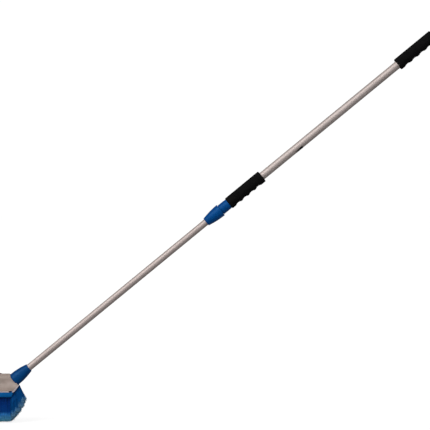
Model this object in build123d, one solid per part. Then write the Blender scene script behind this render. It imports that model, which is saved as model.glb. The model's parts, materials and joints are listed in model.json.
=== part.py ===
from build123d import *
from math import cos, sin, radians, tan
import os

# Telescopic pole with a flagged-bristle brush head, in millimetres.
# The origin is the centre of the flat face swept by the bristle tips, +Z is up,
# and +X points towards the handle. Y = 0 is the plane of symmetry.
# Pole pieces are drawn upright along their own Z, measured from the seat of the
# ferrule on the head, and then laid along the pole. There, local +X is the side
# that faces the ground, where the fingers close round the grips.

# ---- clearances ----
SLIDE_FIT = 0.10          # radial, between pieces that slide or turn on each other
FREE_GAP = 0.35           # between moving pieces that never bear on each other
END_GAP = 1.0             # lock collar to sleeve shoulder, fully tightened
TUBE_GAP = 0.9            # radial, between the two tubes
LIP_GAP = 0.4             # radial, sleeve's lower bore to the inner tube

# ---- pole ----
POLE_ANGLE = 39.4         # pole above the swept plane, degrees
INNER_TUBE_WALL = 1.0
INNER_TUBE_SHOWN = 716.0  # between ferrule and lock collar
TUBE_OVERLAP = 96.0       # inner tube inside the outer tube
OUTER_TUBE_OD = 25.0
OUTER_TUBE_WALL = 1.0
OUTER_TUBE_SHOWN = 549.0  # between the two grips

# ---- ferrule and threaded stud ----
FERRULE_LENGTH = 62.4
FERRULE_RIM_WALL = 9.9    # inner tube to the outside of the rim
FERRULE_NOSE_WALL = 2.75  # the same at the nose
FERRULE_BOW_PLACE = 0.46  # share of the bow's length where it is measured
FERRULE_BOW_FULL = 0.72   # share of its taper that is left there
FERRULE_STRAIGHT = 15.0   # length of full diameter
FERRULE_EDGE = 3.5
FERRULE_CORE_DEPTH = 22.0
FERRULE_CORE_WALL = 3.0
STUD_OD = 19.0
STUD_THREAD_LENGTH = 34.0
STUD_SHOULDER = 1.4       # step that the inner tube's end rests on
STUD_CHAMFER = 1.5
STUD_BODY_LENGTH = 24.0
STUD_PLUG_LENGTH = 28.0
RIVET_OD = 3.2
RIVET_GRIP = 1.4          # rivet ends inside the inner tube's bore
HOLE_OVERRUN = 1.0        # drilled past the surface that a hole breaks through
FERRULE_RIVET_AT = 42.0   # from the seat

# ---- twist lock ----
COLLAR_LENGTH = 59.4
COLLAR_NOSE_WALL = 3.15   # inner tube to the outside of the nose
COLLAR_WALL = 5.0         # sleeve's thread to the outside of the skirt
COLLAR_BOW_END = 0.78     # share of the length where the bow ends
COLLAR_BOW_PLACE = 0.38   # share of the length where the bow is measured
COLLAR_BOW_DROP = 2.75    # its radius there, below the full radius
COLLAR_SHOULDER_DROP = 0.6
COLLAR_SKIRT_END = 0.94
COLLAR_NOSE_CHAMFER = 0.8
COLLAR_RIM_CHAMFER = 0.5
COLLAR_LEDGE = 6.0        # nose to the ledge that carries the washer
WASHER_THICKNESS = 1.5
COLLET_WALL = 2.3
COLLET_LENGTH = 26.0
COLLET_TIP_WALL = 1.1
COLLET_TAPER_LENGTH = 14.0
COLLET_SLOT = 1.6
COLLET_SLOTS = 3
SLEEVE_MOUTH = 24.0       # collar nose to the sleeve's lower end
SLEEVE_WALL = 3.1         # outer tube to the outside of the thread
SLEEVE_SHOULDER = 44.0    # collar nose to the shoulder that stops the outer tube
SLEEVE_SHOWN = 31.0
SLEEVE_BODY_WALL = 4.6    # outer tube to the outside, beside the collar
SLEEVE_TOP_WALL = 4.0     # the same beside the grip
SLEEVE_RIVET_INSET = 14.0  # from the sleeve's upper end
LOCK_TRAVEL = 1.5         # collar travel from tight to free

# ---- guide bush ----
BUSH_FLANGE_LENGTH = 25.0
BUSH_SPIGOT_LENGTH = 30.0
BUSH_WALL = 2.5
BUSH_GROOVE_WIDTH = 4.0
BUSH_GROOVE_DEPTH = 1.4
BUSH_PIN_OD = 2.4
BUSH_PIN_BELOW_END = 15.0

# ---- foam grips ----
GRIP_WALL = 7.1
GRIP_EDGE = 2.6
LOWER_GRIP_LENGTH = 134.5
UPPER_GRIP_LENGTH = 143.0
GROOVE_COUNT = 4
GROOVE_WIDTH = 21.5
GROOVE_FIRST = 25.5       # grip's lower end to the first groove
LOWER_GROOVE_PITCH = 26.6
LOWER_GROOVE_DEPTH = 3.3
UPPER_GROOVE_PITCH = 28.6
UPPER_GROOVE_DEPTH = 2.7

# ---- end cap ----
CAP_FLANGE_STEP = 3.0     # past the outside of the outer tube
CAP_FLANGE_LENGTH = 7.0
CAP_FLANGE_ROUND = 2.5
CAP_SPIGOT_LENGTH = 34.0
CAP_SPIGOT_WALL = 2.5
CAP_EYE_LENGTH = 27.0
CAP_EYE_WIDTH = 22.0
CAP_EYE_THICKNESS = 8.0
CAP_EYE_ROOT = 3.0        # of the eye inside the flange
HANG_HOLE_RADIUS = 4.5

# ---- plain label on the outer tube ----
LABEL_AT = 130.0          # from the lower grip's upper end
LABEL_LENGTH = 27.0
LABEL_THICKNESS = 0.2
LABEL_HALF_ANGLE = 60.0   # each side of the underside, degrees

# ---- head ----
HEAD_LENGTH = 250.0       # over the upper edges of the slanted ends
HEAD_WIDTH = 76.0
BRISTLE_HEIGHT = 78.0     # swept plane to the underside of the block
RIM_HEIGHT = 16.0         # side of the block that shows under the cover
COVER_HEIGHT = 56.0       # rim to the top of the ridge
COVER_WALL = 2.6
COVER_LIP = 3.0           # straight lower edge of the cover
RIDGE_WIDTH = 34.0
RIDGE_DEPTH = 26.0        # ridge top to where the skirt starts to flare
RIDGE_FLAT = 140.0        # level part of the ridge, measured from the handle end
FAR_END_HEIGHT = 6.0      # upright edge of the cover at the far end
FLANK_BEND = 3.2          # hollow of the flank, across and down
SOCKET_RISE = 35.0        # rim to the pole's centre at the ferrule seat
END_BELOW_POLE = 24.0     # pole's centre line to the upper edge of the slanted end
END_SLOPE = 51.0          # slanted end above the swept plane, degrees
SEAT_DEPTH = 3.0          # ferrule rim's recess in the cover
INSERT_STEP = 0.2         # insert's flats inside the stud's body, so its corners seat the ferrule
BARREL_WALL = 4.2         # insert's flats to the outside of the barrel
INSERT_LENGTH = 36.0
BLOCK_TAPER = 6.5         # each end, over the height of the rim
BLOCK_CHAMFER = 3.0
TONGUE_HEIGHT = 4.0
TONGUE_WALL = 3.0
SCREW_END_INSET = 59.0    # from the upper edges of the slanted ends
SCREW_SIDE_INSET = 14.0   # from the sides of the head
SCREW_OD = 3.5
SCREW_HEAD_OD = 7.0
SCREW_HEAD_LENGTH = 3.0
SCREW_LENGTH = 25.0
SCREW_BOSS_OD = 8.6
PLUG_INSET = 63.0         # from the upper edge of the slanted end
PLUG_OD = 16.0
PLUG_PROUD = 1.2
PLUG_DEPTH = 6.0
PLUG_ROUND = 0.96

# ---- bristles ----
SIDE_ROOT_INSET = 1.5     # outer side row from the block's side
SIDE_ROW_DEPTH = 9.5      # of the side rows, at the block
SIDE_SPREAD = 17.5        # outward lean of the outer side row, at its tips
END_TIP_SPREAD = 4.6      # outward lean of the lowest end tufts, at their tips
END_TIP_RISE = 6.0        # their tips above the swept plane
END_TOP_REACH = 18.0      # tips of the highest end tufts beyond their roots
END_TOP_DROP = 44.0       # and below them

# ---- places that follow from the sizes ----
LEAN = radians(POLE_ANGLE)
SLOPE = radians(END_SLOPE)
RIM_TOP = BRISTLE_HEIGHT + RIM_HEIGHT
COVER_TOP = RIM_TOP + COVER_HEIGHT
SOCKET_HEIGHT = RIM_TOP + SOCKET_RISE
SEAT_X = HEAD_LENGTH / 2 - SEAT_DEPTH * cos(LEAN) - END_BELOW_POLE * sin(LEAN)
POLE = Plane(
    origin=(SEAT_X, 0, SOCKET_HEIGHT),
    x_dir=(sin(LEAN), 0, -cos(LEAN)),
    z_dir=(cos(LEAN), 0, sin(LEAN)),
).location

OUTER_TUBE_R = OUTER_TUBE_OD / 2
OUTER_BORE_R = OUTER_TUBE_R - OUTER_TUBE_WALL
INNER_TUBE_R = OUTER_BORE_R - TUBE_GAP
INNER_BORE_R = INNER_TUBE_R - INNER_TUBE_WALL
FERRULE_R = INNER_TUBE_R + FERRULE_RIM_WALL
FERRULE_NOSE_R = INNER_TUBE_R + FERRULE_NOSE_WALL
STUD_BODY_R = INNER_TUBE_R + STUD_SHOULDER
COLLET_R = INNER_TUBE_R + COLLET_WALL
COLLET_TIP_R = INNER_TUBE_R + COLLET_TIP_WALL
SLEEVE_THREAD_R = OUTER_TUBE_R + SLEEVE_WALL
SLEEVE_R = OUTER_TUBE_R + SLEEVE_BODY_WALL
COLLAR_R = SLEEVE_THREAD_R + COLLAR_WALL
GRIP_R = OUTER_TUBE_R + GRIP_WALL
CAP_FLANGE_R = OUTER_TUBE_R + CAP_FLANGE_STEP
INSERT_HALF = STUD_BODY_R - INSERT_STEP
BARREL_R = INSERT_HALF + BARREL_WALL
SCREW_X = HEAD_LENGTH / 2 - SCREW_END_INSET
SCREW_Y = HEAD_WIDTH / 2 - SCREW_SIDE_INSET
PLUG_X = HEAD_LENGTH / 2 - PLUG_INSET
SIDE_ROOT = HEAD_WIDTH / 2 - SIDE_ROOT_INSET
SIDE_TIP = SIDE_ROOT + SIDE_SPREAD
FIELD_SPLIT = SIDE_ROOT - SIDE_ROW_DEPTH

COLLAR_AT = FERRULE_LENGTH + INNER_TUBE_SHOWN
SHOULDER_AT = COLLAR_AT + SLEEVE_SHOULDER
SLEEVE_BODY_AT = COLLAR_AT + COLLAR_LENGTH + END_GAP
LOWER_GRIP_AT = SLEEVE_BODY_AT + SLEEVE_SHOWN
UPPER_GRIP_AT = LOWER_GRIP_AT + LOWER_GRIP_LENGTH + OUTER_TUBE_SHOWN
OUTER_TUBE_END = UPPER_GRIP_AT + UPPER_GRIP_LENGTH
INNER_TUBE_END = SHOULDER_AT + TUBE_OVERLAP


def ring(outer, inner, start, length):
    """Upright tube: outer and inner radius, lower end and length."""
    body = Cylinder(outer, length, align=(Align.CENTER, Align.CENTER, Align.MIN))
    if inner > 0:
        body -= Cylinder(inner, length, align=(Align.CENTER, Align.CENTER, Align.MIN))
    return Pos(0, 0, start) * body


def turned(edges):
    """Solid of revolution about Z from a closed outline of radius and height."""
    return revolve(Plane.XZ * make_face(edges), Axis.Z)


def cross_pin(diameter, height, start, end):
    """Pin lying along local X between two distances from the pole's centre."""
    pin = Cylinder(diameter / 2, end - start, align=(Align.CENTER, Align.CENTER, Align.MIN))
    return Pos(start, 0, height) * Rot(0, 90, 0) * pin


def pin_pair(diameter, height, start, end):
    """The same pin on the ground side and on the sky side."""
    pin = cross_pin(diameter, height, start, end)
    return [pin, Rot(0, 0, 180) * pin]


# ---- pole: fixed and sliding tubes ----
def outer_tube():
    tube = ring(OUTER_TUBE_R, OUTER_BORE_R, SHOULDER_AT, OUTER_TUBE_END - SHOULDER_AT)
    for hole in sleeve_rivet_holes():
        tube -= hole
    return tube


def inner_tube():
    tube = ring(INNER_TUBE_R, INNER_BORE_R, STUD_BODY_LENGTH, INNER_TUBE_END - STUD_BODY_LENGTH)
    for hole in ferrule_rivet_holes() + bush_pin_holes():
        tube -= hole
    return tube


def bush_pin_holes():
    height = INNER_TUBE_END - BUSH_PIN_BELOW_END
    inner = INNER_BORE_R - SLIDE_FIT - BUSH_GROOVE_DEPTH + FREE_GAP
    return pin_pair(BUSH_PIN_OD, height, inner, INNER_TUBE_R + HOLE_OVERRUN)


def bush_pins():
    """Pins flush with the tube, their inner ends standing in the bush's groove."""
    flush = ring(INNER_TUBE_R, 0, INNER_TUBE_END - BUSH_SPIGOT_LENGTH, BUSH_SPIGOT_LENGTH)
    return [hole & flush for hole in bush_pin_holes()]


def guide_bush():
    spigot_r = INNER_BORE_R - SLIDE_FIT
    flange = ring(OUTER_BORE_R - SLIDE_FIT, 0, INNER_TUBE_END + FREE_GAP, BUSH_FLANGE_LENGTH)
    spigot = ring(spigot_r, 0, INNER_TUBE_END - BUSH_SPIGOT_LENGTH, BUSH_SPIGOT_LENGTH + FREE_GAP)
    bush = flange + spigot
    height = BUSH_SPIGOT_LENGTH + BUSH_FLANGE_LENGTH + FREE_GAP
    bush -= ring(spigot_r - BUSH_WALL, 0, INNER_TUBE_END - BUSH_SPIGOT_LENGTH, height)
    groove_at = INNER_TUBE_END - BUSH_PIN_BELOW_END - BUSH_GROOVE_WIDTH / 2
    groove_r = spigot_r - BUSH_GROOVE_DEPTH
    return bush - ring(spigot_r + SLIDE_FIT / 2, groove_r, groove_at, BUSH_GROOVE_WIDTH)


# ---- ferrule ----
def ferrule_form():
    """Outside of the ferrule, filled: straight rim, then a bow down to the nose."""
    bow_z = FERRULE_STRAIGHT + (FERRULE_LENGTH - FERRULE_STRAIGHT) * FERRULE_BOW_PLACE
    bow_r = FERRULE_NOSE_R + (FERRULE_R - FERRULE_NOSE_R) * FERRULE_BOW_FULL
    seat = Line((0, 0), (FERRULE_R - FERRULE_EDGE, 0))
    side = Line((FERRULE_R, FERRULE_EDGE), (FERRULE_R, FERRULE_STRAIGHT))
    edge = RadiusArc(seat @ 1, side @ 0, -FERRULE_EDGE)
    bow = ThreePointArc(side @ 1, (bow_r, bow_z), (FERRULE_NOSE_R, FERRULE_LENGTH))
    nose = Line(bow @ 1, (0, FERRULE_LENGTH))
    axis = Line(nose @ 1, seat @ 0)
    return turned([seat, edge, side, bow, nose, axis])


def ferrule():
    body = ferrule_form()
    body -= ring(STUD_BODY_R, 0, 0, STUD_BODY_LENGTH)
    body -= ring(INNER_TUBE_R, 0, STUD_BODY_LENGTH, FERRULE_LENGTH - STUD_BODY_LENGTH)
    core_outer = FERRULE_R - FERRULE_CORE_WALL - FERRULE_EDGE / 2
    core_inner = STUD_BODY_R + FERRULE_CORE_WALL / 2
    body -= ring(core_outer, core_inner, 0, FERRULE_CORE_DEPTH)
    for hole in ferrule_rivet_holes():
        body -= hole
    return body


def ferrule_rivet_holes():
    inner = INNER_BORE_R - RIVET_GRIP
    return pin_pair(RIVET_OD, FERRULE_RIVET_AT, inner, FERRULE_R + HOLE_OVERRUN)


def ferrule_rivets():
    return [hole & ferrule_form() for hole in ferrule_rivet_holes()]


def threaded_stud():
    stud = ring(STUD_OD / 2, 0, -STUD_THREAD_LENGTH, STUD_THREAD_LENGTH)
    stud += ring(STUD_BODY_R, 0, 0, STUD_BODY_LENGTH)
    stud += ring(INNER_BORE_R, 0, STUD_BODY_LENGTH, STUD_PLUG_LENGTH)
    stud = chamfer(stud.edges().group_by(Axis.Z)[0], STUD_CHAMFER)
    for hole in ferrule_rivet_holes():
        stud -= hole
    return stud


# ---- twist lock ----
def collar_cavity():
    """Space inside the collar, with the thread as a plain bore."""
    washer_bore = COLLET_R + FREE_GAP
    thread_bore = SLEEVE_THREAD_R + FREE_GAP
    thread_at = SLEEVE_MOUTH - LOCK_TRAVEL
    cavity = ring(INNER_TUBE_R + FREE_GAP, 0, 0, COLLAR_LENGTH)
    cavity += ring(washer_bore, 0, COLLAR_LEDGE, COLLAR_LENGTH - COLLAR_LEDGE)
    cavity += ring(thread_bore, 0, thread_at, COLLAR_LENGTH - thread_at)
    return cavity


def lock_collar():
    nose_r = INNER_TUBE_R + COLLAR_NOSE_WALL
    shoulder = (COLLAR_R - COLLAR_SHOULDER_DROP, COLLAR_LENGTH * COLLAR_BOW_END)
    swell = (COLLAR_R - COLLAR_BOW_DROP, COLLAR_LENGTH * COLLAR_BOW_PLACE)
    base = Line((0, 0), (nose_r - COLLAR_NOSE_CHAMFER, 0))
    nose = Line(base @ 1, (nose_r, COLLAR_NOSE_CHAMFER))
    bow = ThreePointArc(nose @ 1, swell, shoulder)
    skirt = Line(bow @ 1, (COLLAR_R, COLLAR_LENGTH * COLLAR_SKIRT_END))
    rim = Line(skirt @ 1, (COLLAR_R - COLLAR_RIM_CHAMFER, COLLAR_LENGTH))
    top = Line(rim @ 1, (0, COLLAR_LENGTH))
    axis = Line(top @ 1, base @ 0)
    body = turned([base, nose, bow, skirt, rim, top, axis]) - collar_cavity()
    return Pos(0, 0, COLLAR_AT) * body


def thrust_washer():
    start = COLLAR_AT + COLLAR_LEDGE + FREE_GAP
    return ring(COLLET_R, INNER_TUBE_R + SLIDE_FIT, start, WASHER_THICKNESS)


def collet_taper(clearance, start):
    """Tapered end of the collet, or the seat for it with a clearance."""
    low = COLLET_R + clearance
    high = COLLET_TIP_R + clearance
    return Pos(0, 0, start) * Cone(
        low, high, COLLET_TAPER_LENGTH, align=(Align.CENTER, Align.CENTER, Align.MIN)
    )


def collet_start():
    return COLLAR_AT + COLLAR_LEDGE + FREE_GAP + WASHER_THICKNESS


def taper_start():
    return collet_start() + COLLET_LENGTH - COLLET_TAPER_LENGTH


def lock_collet():
    straight = COLLET_LENGTH - COLLET_TAPER_LENGTH
    body = ring(COLLET_R, 0, collet_start(), straight) + collet_taper(0, taper_start())
    body -= ring(INNER_TUBE_R + SLIDE_FIT, 0, collet_start(), COLLET_LENGTH)
    corner = (Align.MIN, Align.CENTER, Align.MIN)
    through = Box(2 * COLLET_R, COLLET_SLOT, COLLET_LENGTH, align=corner)
    body -= Pos(0, 0, collet_start()) * through
    for turn in range(1, COLLET_SLOTS):
        finger = Rot(0, 0, 360 / COLLET_SLOTS * turn) * Pos(0, 0, taper_start()) * through
        body -= finger
    return body


def sleeve_body():
    """Part of the sleeve that shows between collar and grip, filled."""
    low = (Align.CENTER, Align.CENTER, Align.MIN)
    taper = Cone(SLEEVE_R, OUTER_TUBE_R + SLEEVE_TOP_WALL, SLEEVE_SHOWN, align=low)
    return Pos(0, 0, SLEEVE_BODY_AT) * taper


def sleeve_rivet_holes():
    height = LOWER_GRIP_AT - SLEEVE_RIVET_INSET
    return pin_pair(RIVET_OD, height, OUTER_BORE_R - HOLE_OVERRUN, SLEEVE_R + HOLE_OVERRUN)


def sleeve_rivets():
    """Rivets flush with the sleeve outside and with the tube's bore inside."""
    bore = ring(OUTER_BORE_R, 0, SLEEVE_BODY_AT, SLEEVE_SHOWN)
    return [(hole & sleeve_body()) - bore for hole in sleeve_rivet_holes()]


def lock_sleeve():
    mouth = COLLAR_AT + SLEEVE_MOUTH
    body = ring(SLEEVE_THREAD_R, 0, mouth, SLEEVE_BODY_AT - mouth) + sleeve_body()
    body -= ring(OUTER_TUBE_R, 0, SHOULDER_AT, LOWER_GRIP_AT - SHOULDER_AT)
    body -= ring(INNER_TUBE_R + LIP_GAP, 0, mouth, SHOULDER_AT - mouth)
    body -= collet_taper(FREE_GAP, taper_start())
    tip = taper_start() + COLLET_TAPER_LENGTH
    body -= ring(COLLET_TIP_R + FREE_GAP, 0, tip, FREE_GAP)
    for hole in sleeve_rivet_holes():
        body -= hole
    return body


# ---- grips, cap and label ----
def foam_grip(start, length, pitch, depth):
    """Foam tube with finger grooves scooped from the ground side only."""
    grip = ring(GRIP_R, 0, start, length)
    rims = grip.edges().filter_by(GeomType.CIRCLE)
    grip = fillet(rims, GRIP_EDGE)
    scoop_r = (GROOVE_WIDTH**2 / 4 + depth**2) / (2 * depth)
    scoop = Rot(90, 0, 0) * Cylinder(scoop_r, 2 * GRIP_R)
    for groove in range(GROOVE_COUNT):
        height = start + GROOVE_FIRST + groove * pitch
        grip -= Pos(GRIP_R - depth + scoop_r, 0, height) * scoop
    return grip - ring(OUTER_TUBE_R, 0, start, length)


def lower_grip():
    return foam_grip(LOWER_GRIP_AT, LOWER_GRIP_LENGTH, LOWER_GROOVE_PITCH, LOWER_GROOVE_DEPTH)


def upper_grip():
    return foam_grip(UPPER_GRIP_AT, UPPER_GRIP_LENGTH, UPPER_GROOVE_PITCH, UPPER_GROOVE_DEPTH)


def end_cap():
    low = (Align.CENTER, Align.CENTER, Align.MIN)
    spigot_bore = OUTER_BORE_R - CAP_SPIGOT_WALL
    spigot_at = OUTER_TUBE_END - CAP_SPIGOT_LENGTH
    spigot = ring(OUTER_BORE_R, spigot_bore, spigot_at, CAP_SPIGOT_LENGTH)
    flange = ring(CAP_FLANGE_R, 0, OUTER_TUBE_END, CAP_FLANGE_LENGTH)
    flange = fillet(flange.edges().group_by(Axis.Z)[-1], CAP_FLANGE_ROUND)
    eye_at = OUTER_TUBE_END + CAP_FLANGE_LENGTH
    straight = CAP_EYE_LENGTH - CAP_EYE_WIDTH / 2
    stem = Box(CAP_EYE_WIDTH, CAP_EYE_THICKNESS, straight + CAP_EYE_ROOT, align=low)
    round_end = Rot(90, 0, 0) * Cylinder(CAP_EYE_WIDTH / 2, CAP_EYE_THICKNESS)
    hole = Rot(90, 0, 0) * Cylinder(HANG_HOLE_RADIUS, CAP_EYE_THICKNESS * 2)
    cap = spigot + flange + Pos(0, 0, eye_at - CAP_EYE_ROOT) * stem
    cap += Pos(0, 0, eye_at + straight) * round_end
    return cap - Pos(0, 0, eye_at + straight) * hole


def plain_label():
    start = LOWER_GRIP_AT + LOWER_GRIP_LENGTH + LABEL_AT
    wrap = ring(OUTER_TUBE_R + LABEL_THICKNESS, OUTER_TUBE_R, start, LABEL_LENGTH)
    reach = OUTER_TUBE_OD
    half = reach * tan(radians(LABEL_HALF_ANGLE))
    wedge = Polyline((0, 0, start), (reach, half, start), (reach, -half, start), close=True)
    return wrap & extrude(make_face(wedge), LABEL_LENGTH, dir=(0, 0, 1))


# ---- head: outlines ----
def pole_point(along, above):
    """Point in the XZ plane, along the pole from the seat and above its centre line."""
    x = SEAT_X + along * cos(LEAN) - above * sin(LEAN)
    z = SOCKET_HEIGHT + along * sin(LEAN) + above * cos(LEAN)
    return x, z


def seat_line_x(along, z):
    """X where a plane square to the pole meets a height."""
    return SEAT_X + (along - (z - SOCKET_HEIGHT) * sin(LEAN)) / cos(LEAN)


def end_face_x(z):
    """X of the slanted end face at a height."""
    tip_x, tip_z = apex()
    return tip_x - (tip_z - z) / tan(SLOPE)


def side_slab(points, width):
    """Outline in the XZ plane, made into a slab across the head."""
    outline = Polyline(*[(x, 0, z) for x, z in points], close=True)
    return extrude(make_face(outline), width / 2, dir=(0, 1, 0), both=True)


def cross_bar(points, length):
    """Outline in the YZ plane, made into a bar along the head."""
    outline = Polyline(*[(0, y, z) for y, z in points], close=True)
    return extrude(make_face(outline), length / 2, dir=(1, 0, 0), both=True)


def apex():
    """Upper edge of the slanted end."""
    return pole_point(SEAT_DEPTH, -END_BELOW_POLE)


def end_point(along):
    """Where the slanted end meets a plane square to the pole."""
    tip_x, tip_z = apex()
    down = (SEAT_DEPTH - along) / cos(SLOPE - LEAN)
    return tip_x - down * cos(SLOPE), tip_z - down * sin(SLOPE)


def cover_side():
    """Side shape of the cover: level ridge, sloping back, slanted ends."""
    tip_x, tip_z = apex()
    level_end = HEAD_LENGTH / 2 - RIDGE_FLAT
    return side_slab(
        [
            (end_face_x(RIM_TOP), RIM_TOP),
            (tip_x, tip_z),
            (seat_line_x(SEAT_DEPTH, COVER_TOP), COVER_TOP),
            (level_end, COVER_TOP),
            (-tip_x, tip_z + FAR_END_HEIGHT),
            (-tip_x, tip_z),
            (-end_face_x(RIM_TOP), RIM_TOP),
        ],
        HEAD_WIDTH,
    )


def cavity_side():
    """Side shape of the space inside the cover, open below and at the slanted ends."""
    tip_x, tip_z = apex()
    level_end = HEAD_LENGTH / 2 - RIDGE_FLAT
    roof = COVER_TOP - COVER_WALL
    front_x, front_z = pole_point(-COVER_WALL, -END_BELOW_POLE * 2)
    return side_slab(
        [
            (front_x, front_z),
            (seat_line_x(-COVER_WALL, roof), roof),
            (level_end, roof),
            (-tip_x, tip_z + FAR_END_HEIGHT - COVER_WALL),
            (-tip_x * 2, tip_z - tip_z / 2),
        ],
        HEAD_WIDTH,
    )


def cover_section(inset):
    """Cross shape of the cover: round ridge, hollow flank and flared skirt."""
    half = HEAD_WIDTH / 2 - inset
    ridge = RIDGE_WIDTH / 2 - inset
    top = COVER_TOP - inset
    flank_z = COVER_TOP - RIDGE_DEPTH - inset
    lip_z = RIM_TOP + COVER_LIP
    base_z = RIM_TOP if inset == 0 else RIM_TOP - 1
    base = Line((0, -half, base_z), (0, half, base_z))
    lip = Line(base @ 1, (0, half, lip_z))
    bend = (0, (half + ridge) / 2 - FLANK_BEND, (lip_z + flank_z) / 2 - FLANK_BEND)
    flank = ThreePointArc(lip @ 1, bend, (0, ridge, flank_z))
    side = Line(flank @ 1, (0, ridge, top - ridge))
    crown = ThreePointArc(side @ 1, (0, 0, top), (0, -ridge, top - ridge))
    left_side = Line(crown @ 1, (0, -ridge, flank_z))
    left_flank = ThreePointArc(left_side @ 1, (0, -bend[1], bend[2]), (0, -half, lip_z))
    left_lip = Line(left_flank @ 1, base @ 0)
    outline = make_face([base, lip, flank, side, crown, left_side, left_flank, left_lip])
    return extrude(outline, HEAD_LENGTH, dir=(1, 0, 0), both=True)


def at_corners(x, y, shape):
    """Copies of a shape at the four corners of the head."""
    return [Pos(a * x, b * y, 0) * shape for a in (-1, 1) for b in (-1, 1)]


def upright(radius, start, end):
    rod = Cylinder(radius, end - start, align=(Align.CENTER, Align.CENTER, Align.MIN))
    return Pos(0, 0, start) * rod


# ---- head: pieces ----
def head_cover():
    form = cover_side() & cover_section(0)
    cavity = cavity_side() & cover_section(COVER_WALL)
    barrel = POLE * ring(BARREL_R, 0, -INSERT_LENGTH, INSERT_LENGTH)
    bosses = at_corners(SCREW_X, SCREW_Y, upright(SCREW_BOSS_OD / 2, RIM_TOP, COVER_TOP))
    shell = form - cavity
    shell += barrel & form
    for boss in bosses:
        shell += boss & form
    shell -= POLE * ring(FERRULE_R + FREE_GAP, 0, 0, COVER_HEIGHT)
    shell -= insert_blank()
    for pilot in at_corners(SCREW_X, SCREW_Y, screw_shape()):
        shell -= pilot
    shell -= socket_plug()
    return shell


def insert_blank():
    """Six-sided outside of the threaded insert."""
    outline = RegularPolygon(INSERT_HALF, 6, major_radius=False)
    return POLE * Pos(0, 0, -INSERT_LENGTH) * extrude(outline, INSERT_LENGTH)


def socket_insert():
    bore = POLE * ring(STUD_OD / 2, 0, -INSERT_LENGTH, INSERT_LENGTH)
    return insert_blank() - bore


def socket_plug():
    top = COVER_TOP + PLUG_PROUD
    plug = upright(PLUG_OD / 2, COVER_TOP - PLUG_DEPTH, top)
    plug = fillet(plug.edges().group_by(Axis.Z)[-1], PLUG_ROUND)
    return Pos(PLUG_X, 0, 0) * plug


def end_wall():
    """Slanted wall at the handle end that carries the end tufts."""
    top = -BARREL_R - 2 * FREE_GAP
    inner = HEAD_WIDTH / 2 - COVER_WALL - FREE_GAP
    foot_x = end_face_x(RIM_TOP)
    back_x = foot_x - (END_BELOW_POLE + top) / sin(LEAN)
    upper_end = -COVER_WALL - FREE_GAP
    corners = [(foot_x, RIM_TOP), end_point(upper_end), pole_point(upper_end, top), (back_x, RIM_TOP)]
    return side_slab(corners, inner * 2) & cover_section(COVER_WALL + FREE_GAP)


def bristle_block():
    foot = end_face_x(RIM_TOP)
    slab = side_slab(
        [
            (-foot + BLOCK_TAPER, BRISTLE_HEIGHT),
            (foot - BLOCK_TAPER, BRISTLE_HEIGHT),
            (foot, RIM_TOP),
            (-foot, RIM_TOP),
        ],
        HEAD_WIDTH,
    )
    long_edges = slab.edges().filter_by(Axis.X).group_by(Axis.Z)[0]
    slab = chamfer(long_edges, BLOCK_CHAMFER)
    inner = HEAD_WIDTH / 2 - COVER_WALL - FREE_GAP
    reach = SCREW_X + SCREW_BOSS_OD + TONGUE_WALL
    low = (Align.CENTER, Align.CENTER, Align.MIN)
    tongue = Box(2 * reach, 2 * inner, TONGUE_HEIGHT, align=low)
    tongue -= Box(2 * (reach - TONGUE_WALL), 2 * (inner - TONGUE_WALL), TONGUE_HEIGHT, align=low)
    block = slab + (Pos(0, 0, RIM_TOP) * tongue & cover_section(COVER_WALL + FREE_GAP))
    wall = end_wall()
    block += wall
    block += mirror(wall, about=Plane.YZ)
    block -= POLE * ring(BARREL_R + FREE_GAP, 0, -INSERT_LENGTH - FREE_GAP, INSERT_LENGTH)
    for screw in at_corners(SCREW_X, SCREW_Y, screw_shape()):
        block -= screw
    return block


def screw_shape():
    head = upright(SCREW_HEAD_OD / 2, BRISTLE_HEIGHT, BRISTLE_HEIGHT + SCREW_HEAD_LENGTH)
    return head + upright(SCREW_OD / 2, BRISTLE_HEIGHT, BRISTLE_HEIGHT + SCREW_LENGTH)


def field_side(reach):
    """Side shape shared by the bottom and side rows."""
    root_x = end_face_x(RIM_TOP) - BLOCK_TAPER
    return side_slab(
        [
            (-root_x, BRISTLE_HEIGHT),
            (root_x, BRISTLE_HEIGHT),
            (root_x + END_TIP_SPREAD, END_TIP_RISE),
            (root_x - END_TIP_SPREAD, 0),
            (-root_x + END_TIP_SPREAD, 0),
            (-root_x - END_TIP_SPREAD, END_TIP_RISE),
        ],
        reach,
    )


def bristles_bottom():
    return field_side(2 * FIELD_SPLIT)


def bristles_front():
    rows = cross_bar(
        [
            (-FIELD_SPLIT, BRISTLE_HEIGHT),
            (-SIDE_ROOT + BLOCK_CHAMFER, BRISTLE_HEIGHT),
            (-SIDE_ROOT, BRISTLE_HEIGHT - BLOCK_CHAMFER),
            (-SIDE_TIP, END_TIP_RISE),
            (-SIDE_TIP + END_TIP_RISE, 0),
            (-FIELD_SPLIT, 0),
        ],
        2 * HEAD_LENGTH,
    )
    return rows & field_side(4 * SIDE_TIP)


def bristles_handle_end():
    root_x = end_face_x(RIM_TOP) - BLOCK_TAPER
    tip_x, tip_z = apex()
    fan = side_slab(
        [
            (root_x, BRISTLE_HEIGHT),
            (end_face_x(RIM_TOP), RIM_TOP),
            (tip_x, tip_z),
            (tip_x + END_TOP_REACH, tip_z - END_TOP_DROP),
            (root_x + END_TIP_SPREAD, END_TIP_RISE),
        ],
        4 * SIDE_TIP,
    )
    root_half = HEAD_WIDTH / 2 - COVER_WALL - FREE_GAP
    spread = cross_bar(
        [(-root_half, tip_z), (root_half, tip_z), (SIDE_TIP, END_TIP_RISE), (-SIDE_TIP, END_TIP_RISE)],
        2 * HEAD_LENGTH,
    )
    return fan & spread


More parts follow.
